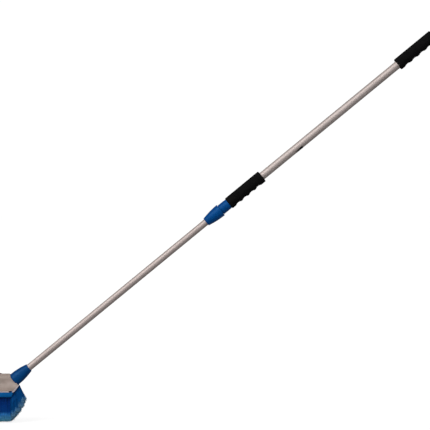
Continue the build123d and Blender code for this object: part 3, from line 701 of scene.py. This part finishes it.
def section_line(inset):
    """Half of the form's cross section, as places across and up, from the base to the top."""
    foot = Vector((COVER_HALF - inset, COVER_BASE + LIP))
    shoulder = Vector((RIDGE_HALF - inset, FLANK_TOP - inset))
    pull = FLANK_PULL - Vector((inset, inset)) * 0.7
    line = [Vector((foot.x, COVER_BASE)), Vector((foot.x, foot.y - 0.0003))]
    for step in range(15):
        t = step / 14
        line.append(foot * (1 - t) ** 2 + pull * 2 * t * (1 - t) + shoulder * t**2)
    crown = COVER_TOP - RIDGE_HALF
    for step in range(11):
        turn = radians(9.0 * step)
        reach = RIDGE_HALF - inset
        line.append(Vector((reach * cos(turn), crown + reach * sin(turn))))
    return line


def slope_share(x):
    """Height of the form at a place along it, as a share of its full height."""
    t = max(0.0, (SLOPE_FROM - x) / (SLOPE_FROM - SLOPE_TO))
    eased = (sqrt(t * t + SLOPE_EASE**2) - SLOPE_EASE) / (sqrt(1 + SLOPE_EASE**2) - SLOPE_EASE)
    return 1 - (1 - FAR_SHARE) * eased


def cut(point, normal, fill=True):
    """Cut the piece in edit mode and drop what lies beyond the plane."""
    bpy.ops.mesh.select_all(action="SELECT")
    bpy.ops.mesh.bisect(plane_co=point, plane_no=normal, clear_outer=True, use_fill=fill)


def select_verts(piece, wanted):
    """Select the vertices of the piece in edit mode that pass a test of their place."""
    bpy.ops.mesh.select_mode(type="VERT")
    bpy.ops.mesh.select_all(action="DESELECT")
    mesh = bmesh.from_edit_mesh(piece.data)
    for vertex in mesh.verts:
        vertex.select = wanted(vertex.co)
    mesh.select_flush(True)
    bmesh.update_edit_mesh(piece.data)


def head_form(name, inset):
    """Closed form, longer than the head at both ends, left in edit mode."""
    half = section_line(inset)
    line = half + [Vector((-p.x, p.y)) for p in reversed(half[:-1])]
    bpy.ops.object.select_all(action="DESELECT")
    bpy.ops.mesh.primitive_circle_add(vertices=len(line), radius=0.02)
    piece = bpy.context.active_object
    piece.name = name
    bpy.ops.object.mode_set(mode="EDIT")
    mesh = bmesh.from_edit_mesh(piece.data)
    mesh.verts.ensure_lookup_table()
    for vertex, place in zip(list(mesh.verts), line):
        bpy.ops.mesh.select_all(action="DESELECT")
        vertex.select = True
        bpy.ops.transform.translate(value=Vector((FORM_FROM, place.x, place.y)) - vertex.co)
    bpy.ops.mesh.select_all(action="SELECT")
    span = FORM_TO - FORM_FROM
    stops = [FORM_FROM + span * step / FORM_STEPS for step in range(FORM_STEPS + 1)]
    for before, after in zip(stops, stops[1:]):
        bpy.ops.mesh.extrude_edges_move(
            TRANSFORM_OT_translate={"value": (after - before, 0.0, 0.0)}
        )
    for stop in stops:
        if slope_share(stop) > 0.999:
            continue
        select_verts(piece, lambda co: abs(co.x - stop) < 0.00001)
        lower = (1.0, 1.0, slope_share(stop))
        bpy.ops.transform.resize(value=lower, center_override=(stop, 0.0, COVER_BASE))
    for stop in (FORM_FROM, FORM_TO):
        select_verts(piece, lambda co: abs(co.x - stop) < 0.00001)
        bpy.ops.mesh.edge_face_add()
    bpy.ops.mesh.select_all(action="SELECT")
    bpy.ops.mesh.normals_make_consistent(inside=False)
    return piece


def slanted_ends(sides=(1, -1)):
    """Cut one or both ends along the plane of the slanted openings."""
    for side in sides:
        flip = Vector((side, 1.0, 1.0))
        cut(end_edge * flip, end_normal * flip)


BRISTLE_TOP = 0.078
RIM_HALF_LENGTH = 0.1101
RIM_HALF_LOW = 0.1036
RIM_GAP = 0.0004
RIM_LOW_ROUND = 0.0034
RIM_CORNER_ROUND = 0.002
WALL_DEPTH = 0.0075
WALL_INSET = 0.003
WALL_ROUND = 0.0007

bpy.ops.object.select_all(action="DESELECT")
rim_middle = (0.0, 0.0, (BRISTLE_TOP + COVER_BASE) / 2)
bpy.ops.mesh.primitive_cube_add(size=1.0, location=rim_middle)
block = bpy.context.active_object
block.name = "block_moulded"
rim_height = COVER_BASE - BRISTLE_TOP - RIM_GAP
block.scale = (2 * RIM_HALF_LENGTH, 2 * COVER_HALF, rim_height)
bpy.ops.object.transform_apply(location=True, rotation=True, scale=True)
bpy.ops.object.mode_set(mode="EDIT")
just_above = BRISTLE_TOP + 0.002
select_verts(block, lambda co: co.z < just_above)
taper = RIM_HALF_LOW / RIM_HALF_LENGTH
bpy.ops.transform.resize(value=(taper, 1.0, 1.0), center_override=(0.0, 0.0, BRISTLE_TOP))
bpy.ops.mesh.select_all(action="DESELECT")
bpy.ops.mesh.select_mode(type="EDGE")
slab = bmesh.from_edit_mesh(block.data)
for edge in slab.edges:
    low_edge = all(v.co.z < just_above for v in edge.verts)
    edge.select = low_edge and abs(edge.verts[0].co.y - edge.verts[1].co.y) < 0.001
bpy.ops.mesh.bevel(offset=RIM_LOW_ROUND, segments=4, profile=0.5)
bpy.ops.mesh.select_all(action="DESELECT")
for edge in slab.edges:
    edge.select = abs(edge.verts[0].co.z - edge.verts[1].co.z) > rim_height / 2
bpy.ops.mesh.bevel(offset=RIM_CORNER_ROUND, segments=3, profile=0.5)
bpy.ops.object.mode_set(mode="OBJECT")

wall_parts = []
for side in (1, -1):
    wall = head_form("end_wall", WALL_INSET)
    if side == 1:
        cut(seat - pole_axis * WALL_INSET, pole_axis)
    else:
        cut(Vector((SLOPE_TO + WALL_INSET, 0.0, 0.0)), Vector((-1.0, 0.0, 0.0)))
    slanted_ends((side,))
    flip = Vector((side, 1.0, 1.0))
    cut((end_edge - end_normal * WALL_DEPTH) * flip, -end_normal * flip)
    bpy.ops.object.mode_set(mode="OBJECT")
    wall_parts.append(wall)
pick(block)
for wall in wall_parts:
    wall.select_set(True)
bpy.ops.object.join()
rounding = block.modifiers.new("rounding", "BEVEL")
rounding.width = WALL_ROUND
rounding.segments = 2
rounding.limit_method = "ANGLE"
rounding.angle_limit = radians(40.0)
bpy.ops.object.modifier_apply(modifier="rounding")
bpy.ops.object.shade_smooth_by_angle(angle=radians(35.0))
block.data.materials.append(
    blue_plastic("blue_plastic_block", (0.001, 0.08, 0.27), (0.003, 0.108, 0.34), 1500.0)
)
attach(block, "brush")
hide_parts("bristle_block")

# ---- Tufts ----
# Soft plastic fibre, folded and stapled in drilled holes, about a hundred strands to a tuft. The
# fibre is mid blue, its split tips are paler, and painted shade darkens it towards the roots. The
# side rows lean out, and the ends fan.
STRAND_RADIUS = 0.00034
STRAND_STEPS = 3
STRAND_DRIFT = 0.0008
STRAND_TAPER = 0.86
TIP_SCATTER = 0.0012
TUFT_LENGTH = 0.07
draw = random.Random(7)


def mark(mesh, name, values):
    """Store one number at every vertex of a mesh."""
    layer = mesh.attributes.get(name) or mesh.attributes.new(name, "FLOAT", "POINT")
    layer.data.foreach_set("value", values)


def one_strand():
    """Single strand hanging down from the origin, with a slight curve and a fine tip."""
    bpy.ops.object.select_all(action="DESELECT")
    bpy.ops.mesh.primitive_circle_add(vertices=3, radius=STRAND_RADIUS, fill_type="NGON")
    strand = bpy.context.active_object
    bpy.ops.object.mode_set(mode="EDIT")
    bpy.ops.mesh.select_all(action="SELECT")
    for step in range(STRAND_STEPS):
        drift = STRAND_DRIFT * (step + 1)
        shift = (drift, 0.0, -TUFT_LENGTH / STRAND_STEPS)
        bpy.ops.mesh.extrude_region_move(TRANSFORM_OT_translate={"value": shift})
        bpy.ops.transform.resize(value=(STRAND_TAPER, STRAND_TAPER, 1.0))
    bpy.ops.mesh.select_all(action="SELECT")
    bpy.ops.mesh.normals_make_consistent(inside=False)
    bpy.ops.object.mode_set(mode="OBJECT")
    return strand


def joined(pieces, name):
    """Join pieces into one."""
    bpy.ops.object.select_all(action="DESELECT")
    for piece in pieces:
        piece.select_set(True)
    bpy.context.view_layer.objects.active = pieces[0]
    bpy.ops.object.join()
    pieces[0].name = name
    return pieces[0]


def placed_copy(model, matrix):
    """Copy with its own mesh, moved by a matrix."""
    copy = model.copy()
    copy.data = model.data.copy()
    copy.data.transform(matrix)
    bpy.context.scene.collection.objects.link(copy)
    return copy


def one_tuft(strands, root, flare):
    """Tuft of strands that leave a hole together and spread towards their tips."""
    model = one_strand()
    copies = []
    for _ in range(strands):
        turn = draw.uniform(0, 2 * pi)
        out = sqrt(draw.random())
        foot = Vector((cos(turn), sin(turn), 0.0)) * root * out
        tip = Vector((cos(turn), sin(turn), 0.0)) * flare * out * draw.uniform(0.7, 1.3)
        tip += Vector((draw.gauss(0, TIP_SCATTER), draw.gauss(0, TIP_SCATTER), 0.0))
        lean = Matrix.Identity(4)
        lean[0][2] = -(tip.x - foot.x) / TUFT_LENGTH
        lean[1][2] = -(tip.y - foot.y) / TUFT_LENGTH
        lean[2][2] = draw.choice((1.0, 0.99, 0.975, 0.955)) - draw.random() * 0.03
        spin = Matrix.Rotation(draw.uniform(0, 2 * pi), 4, "Z")
        copy = placed_copy(model, Matrix.Translation(foot) @ lean @ spin)
        along = [min(1.0, -v.co.z / TUFT_LENGTH) for v in copy.data.vertices]
        mark(copy.data, "along", along)
        mark(copy.data, "tone", [draw.random()] * len(along))
        copies.append(copy)
    bpy.data.objects.remove(model)
    return joined(copies, "tuft")


def field(name, model, places, node, material):
    """One field of tufts. Each place is a root, a tip and a width."""
    copies = []
    for root, tip, width in places:
        axis = (root - tip) / TUFT_LENGTH
        turn = Matrix.Rotation(draw.uniform(0, 2 * pi), 4, "Z")
        stand = Matrix.Identity(4)
        for row in range(3):
            stand[row][2] = axis[row]
            stand[row][3] = root[row]
        stand[0][0] = width
        stand[1][1] = width
        copy = placed_copy(model, stand @ turn)
        count = len(copy.data.vertices)
        mark(copy.data, "tuft_tone", [draw.random()] * count)
        copies.append(copy)
    whole = joined(copies, name)
    bpy.ops.object.shade_smooth()
    whole.data.materials.clear()
    whole.data.materials.append(material)
    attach(whole, "brush")
    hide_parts(node)
    return whole


def attribute(tree, name):
    """Number stored at the vertices under a name."""
    node = tree.nodes.new("ShaderNodeAttribute")
    node.attribute_name = name
    return node.outputs["Fac"]


def blend_sum(tree, first, second, share):
    """First value plus a share of the second, less half that share."""
    node = tree.nodes.new("ShaderNodeMath")
    node.operation = "MULTIPLY_ADD"
    node.inputs[1].default_value = share
    tree.links.new(second, node.inputs[0])
    offset = tree.nodes.new("ShaderNodeMath")
    offset.operation = "SUBTRACT"
    offset.inputs[1].default_value = share / 2
    tree.links.new(first, offset.inputs[0])
    tree.links.new(offset.outputs[0], node.inputs[2])
    return node.outputs[0]


def bristle_fibre(name, stops):
    """Fibre coloured by how far along a strand a point lies, with strands unlike each other."""
    material, tree, shader = blank_material(name)
    place = blend_sum(tree, attribute(tree, "along"), attribute(tree, "tone"), 0.08)
    place = blend_sum(tree, place, attribute(tree, "tuft_tone"), 0.06)
    colour = ramp(tree, place, stops)
    tone = tree.nodes.new("ShaderNodeHueSaturation")
    tree.links.new(colour, tone.inputs["Color"])
    tree.links.new(spread(tree, attribute(tree, "tone"), 0.75, 1.25), tone.inputs["Value"])
    tree.links.new(tone.outputs["Color"], shader.inputs["Base Color"])
    shader.inputs["Roughness"].default_value = 0.6
    shader.inputs["Specular IOR Level"].default_value = 0.08
    return material


side_fibre = bristle_fibre(
    "blue_bristle_side",
    [
        # Painted shade: the darkest colour, at the roots under the block.
        (0.0, (0.0003, 0.012, 0.08)),
        (0.25, (0.0003, 0.048, 0.28)),
        (0.62, (0.0008, 0.08, 0.38)),
        (0.72, (0.06, 0.37, 0.85)),
        (1.0, (0.22, 0.73, 1.0)),
    ],
)
end_fibre = bristle_fibre(
    "blue_bristle_end",
    [
        # Painted shade: the darker colour at the roots under the block.
        (0.0, (0.0003, 0.04, 0.16)),
        (0.2, (0.0004, 0.092, 0.34)),
        (0.72, (0.0006, 0.105, 0.36)),
        (0.82, (0.14, 0.42, 0.8)),
        (0.94, (0.3, 0.6, 0.86)),
        (1.0, (0.03, 0.1, 0.19)),
    ],
)

wide_tuft = one_tuft(strands=110, root=0.0032, flare=0.0062)
TIP_LEVEL = 0.0006
SIDE_COLUMNS = 24
SIDE_HALF_LENGTH = 0.1
SIDE_TIP_HALF_LENGTH = 0.0985
SIDE_ROOT_ROWS = ((0.0295, 0.0375), (0.0345, 0.0475))
SIDE_TIP_RISE = 0.002
SIDE_ROW_RISE = 0.004


def side_places(side):
    """Roots and tips of the side rows, their ends leaning slightly outwards."""
    places = []
    for row, (root_y, tip_y) in enumerate(SIDE_ROOT_ROWS):
        count = SIDE_COLUMNS + row
        for column in range(count):
            share = (column + 0.5 + draw.uniform(-0.12, 0.12)) / count * 2 - 1
            root = Vector((share * SIDE_HALF_LENGTH, side * root_y, BRISTLE_TOP))
            level = TIP_LEVEL + SIDE_ROW_RISE * row + SIDE_TIP_RISE
            tip = Vector((share * SIDE_TIP_HALF_LENGTH, side * tip_y, level))
            places.append((root, tip, 1.0))
    return places


field("tufts_front", wide_tuft, side_places(-1), "bristles_front", side_fibre)
field("tufts_back", wide_tuft, side_places(1), "bristles_back", side_fibre)

BOTTOM_ROWS = 5
BOTTOM_COLUMNS = 15
BOTTOM_ROW_PITCH = 0.0108
BOTTOM_COLUMN_PITCH = 0.0134
bottom_places = []
for row in range(BOTTOM_ROWS):
    for column in range(BOTTOM_COLUMNS):
        along = (column - (BOTTOM_COLUMNS - 1) / 2) * BOTTOM_COLUMN_PITCH
        across = (row - (BOTTOM_ROWS - 1) / 2) * BOTTOM_ROW_PITCH
        root = Vector((along, across, BRISTLE_TOP))
        tip = Vector((root.x * 0.99, root.y, TIP_LEVEL + 0.001))
        bottom_places.append((root, tip, 1.25))
field("tufts_bottom", wide_tuft, bottom_places, "bristles_bottom", side_fibre)

fine_tuft = one_tuft(strands=90, root=0.0028, flare=0.0034)
END_ROWS = 11
LOW_ROOT = Vector((0.1026, 0.0, 0.08))
MID_ROOT = Vector((0.109, 0.0, 0.0945))
TOP_ROOT = Vector((0.1232, 0.0, 0.1112))
LOW_TIP = Vector((0.1025, 0.0, 0.0078))
TOP_TIP = Vector((0.1405, 0.0, 0.067))
FAN_BULGE = Vector((0.0045, 0.0, -0.003))
FAN_PITCH = 0.0078
FAN_SPREAD = 0.0145
LOW_SHARE = 0.3


def end_places(side):
    """Roots and tips of one end's fan, row above row."""
    places = []
    for row in range(END_ROWS):
        share = row / (END_ROWS - 1)
        if share < LOW_SHARE:
            root = LOW_ROOT.lerp(MID_ROOT, share / LOW_SHARE)
            half = 0.034
        else:
            climb = (share - LOW_SHARE) / (1 - LOW_SHARE)
            root = MID_ROOT.lerp(TOP_ROOT, climb)
            half = 0.032 - 0.016 * climb
        tip = LOW_TIP.lerp(TOP_TIP, share) + FAN_BULGE * sin(share * pi)
        count = round(half * 2 / FAN_PITCH)
        for column in range(count):
            across = ((column + 0.5) / count * 2 - 1) + draw.uniform(-0.04, 0.04)
            foot = Vector((root.x * side, across * half, root.z))
            stray = draw.uniform(-1, 1) * min(share, 1 - share) * 2
            end = tip + (TOP_TIP - LOW_TIP) * stray / END_ROWS
            end = Vector((end.x * side, across * (half + FAN_SPREAD), end.z))
            places.append((foot, end, 1.0))
    return places


field("tufts_handle_end", fine_tuft, end_places(1), "bristles_handle_end", end_fibre)
field("tufts_far_end", fine_tuft, end_places(-1), "bristles_far_end", end_fibre)
bpy.data.objects.remove(wide_tuft)
bpy.data.objects.remove(fine_tuft)

# ---- Cover ----
# Taupe moulded shell over the block, 2.6 mm thick, with a round recess for the ferrule's rim and
# a notch in each side of its lip for prying it off. A painted highlight runs along its lip and
# ends.
COVER_WALL = 0.0026
NOTCH_AT = (0.1012, 0.0, COVER_BASE)
NOTCH_SIZE = (0.0095, 0.09, 0.0084)
SEAT_GAP = 0.00035
SEAT_REACH = 0.06
COVER_ROUND = 0.0006
# Where the painted highlight along the lip and along the slanted ends fades out.
LIP_HIGHLIGHT_FROM = 0.0024
LIP_HIGHLIGHT_TO = 0.0038
END_HIGHLIGHT_FROM = 0.002
END_HIGHLIGHT_TO = 0.0034


def taupe_plastic():
    """Satin moulded plastic: fine skin, cloudy tone, a painted highlight along the lip and slanted
    ends.
    """
    material, tree, shader = blank_material("taupe_plastic")
    where = tree.nodes.new("ShaderNodeTexCoord").outputs["Object"]
    cloud = noise(tree, where, 24.0, 5.0)
    body = ramp(tree, cloud, [(0.34, (0.255, 0.2, 0.172)), (0.64, (0.385, 0.31, 0.275))])
    split = tree.nodes.new("ShaderNodeSeparateXYZ")
    tree.links.new(where, split.inputs[0])
    low_edge = tree.nodes.new("ShaderNodeMapRange")
    low_edge.inputs["From Min"].default_value = COVER_BASE + LIP_HIGHLIGHT_FROM
    low_edge.inputs["From Max"].default_value = COVER_BASE + LIP_HIGHLIGHT_TO
    low_edge.inputs["To Min"].default_value = 1.0
    low_edge.inputs["To Max"].default_value = 0.0
    tree.links.new(split.outputs["Z"], low_edge.inputs["Value"])
    along_x = tree.nodes.new("ShaderNodeMath")
    along_x.operation = "ABSOLUTE"
    tree.links.new(split.outputs["X"], along_x.inputs[0])
    rise = tree.nodes.new("ShaderNodeMath")
    rise.operation = "MULTIPLY"
    rise.inputs[1].default_value = end_normal.z
    tree.links.new(split.outputs["Z"], rise.inputs[0])
    slant = tree.nodes.new("ShaderNodeMath")
    slant.operation = "MULTIPLY_ADD"
    slant.inputs[1].default_value = end_normal.x
    tree.links.new(along_x.outputs[0], slant.inputs[0])
    tree.links.new(rise.outputs[0], slant.inputs[2])
    near_end = tree.nodes.new("ShaderNodeMapRange")
    plane_at = end_edge.dot(end_normal)
    near_end.inputs["From Min"].default_value = plane_at - END_HIGHLIGHT_TO
    near_end.inputs["From Max"].default_value = plane_at - END_HIGHLIGHT_FROM
    tree.links.new(slant.outputs[0], near_end.inputs["Value"])
    highlight_band = tree.nodes.new("ShaderNodeMath")
    highlight_band.operation = "MAXIMUM"
    tree.links.new(low_edge.outputs[0], highlight_band.inputs[0])
    tree.links.new(near_end.outputs[0], highlight_band.inputs[1])
    # Painted highlight: a pale colour over the lip and the slanted end edges, standing in for light
    # catching them.
    mix = tree.nodes.new("ShaderNodeMix")
    mix.data_type = "RGBA"
    mix.inputs["B"].default_value = (0.43, 0.39, 0.42, 1.0)
    tree.links.new(highlight_band.outputs[0], mix.inputs["Factor"])
    tree.links.new(body, mix.inputs["A"])
    tree.links.new(mix.outputs["Result"], shader.inputs["Base Color"])
    skin = noise(tree, where, 1300.0, 2.0)
    tree.links.new(bump(tree, skin, 0.3, 0.00006), shader.inputs["Normal"])
    tree.links.new(spread(tree, cloud, 0.42, 0.6), shader.inputs["Roughness"])
    return material


cover = head_form("cover_moulded", 0.0)
cut(seat + pole_axis * SEAT_DEPTH, pole_axis)
cut(Vector((SLOPE_TO, 0.0, 0.0)), Vector((-1.0, 0.0, 0.0)))
slanted_ends()
bpy.ops.mesh.select_mode(type="FACE")
bpy.ops.mesh.select_all(action="DESELECT")
form = bmesh.from_edit_mesh(cover.data)
for face in form.faces:
    downward = face.normal.z < -0.99
    slanted = face.normal.dot(end_normal) > 0.999 or face.normal.dot(end_normal * mirrored) > 0.999
    face.select = downward or slanted
bpy.ops.mesh.delete(type="FACE")
bpy.ops.mesh.select_all(action="SELECT")
bpy.ops.mesh.remove_doubles(threshold=0.00001)
bpy.ops.mesh.normals_make_consistent(inside=False)
bpy.ops.object.mode_set(mode="OBJECT")
wall = cover.modifiers.new("wall", "SOLIDIFY")
wall.thickness = COVER_WALL
wall.offset = -1.0
wall.use_even_offset = True
bpy.ops.object.modifier_apply(modifier="wall")
bpy.ops.object.select_all(action="DESELECT")
bpy.ops.mesh.primitive_cylinder_add(
    vertices=96,
    radius=FERRULE_RIM + SEAT_GAP,
    depth=SEAT_REACH,
    location=(0, 0, SEAT_REACH / 2),
)
recess = bpy.context.active_object
bpy.ops.object.transform_apply(location=True, rotation=True, scale=True)
lay_on_pole(recess)
pick(cover)
seat_cut = cover.modifiers.new("seat", "BOOLEAN")
seat_cut.operation = "DIFFERENCE"
seat_cut.solver = "MANIFOLD"
seat_cut.object = recess
bpy.ops.object.modifier_apply(modifier="seat")
bpy.data.objects.remove(recess)
bpy.ops.object.select_all(action="DESELECT")
bpy.ops.mesh.primitive_cube_add(size=1.0, location=NOTCH_AT)
notch = bpy.context.active_object
notch.scale = NOTCH_SIZE
bpy.ops.object.transform_apply(location=True, rotation=True, scale=True)
pick(cover)
lip_cut = cover.modifiers.new("lip", "BOOLEAN")
lip_cut.operation = "DIFFERENCE"
lip_cut.solver = "MANIFOLD"
lip_cut.object = notch
bpy.ops.object.modifier_apply(modifier="lip")
bpy.data.objects.remove(notch)
edge = cover.modifiers.new("edge", "BEVEL")
edge.width = COVER_ROUND
edge.segments = 2
edge.limit_method = "ANGLE"
edge.angle_limit = radians(40.0)
bpy.ops.object.modifier_apply(modifier="edge")
bpy.ops.object.shade_smooth_by_angle(angle=radians(30.0))
cover.data.materials.clear()
cover.data.materials.append(taupe_plastic())
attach(cover, "brush")
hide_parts("head_cover")

# ---- Socket insert, plug and screws ----
# Six-sided acetal insert with the thread for the stud, a dark plug in the spare hole on top, and
# four plated screws from below that hold the block to the cover.
cad_finish("socket_insert", acetal)
cad_finish("socket_plug", dark_plastic)
cad_finish("cover_screws", steel)
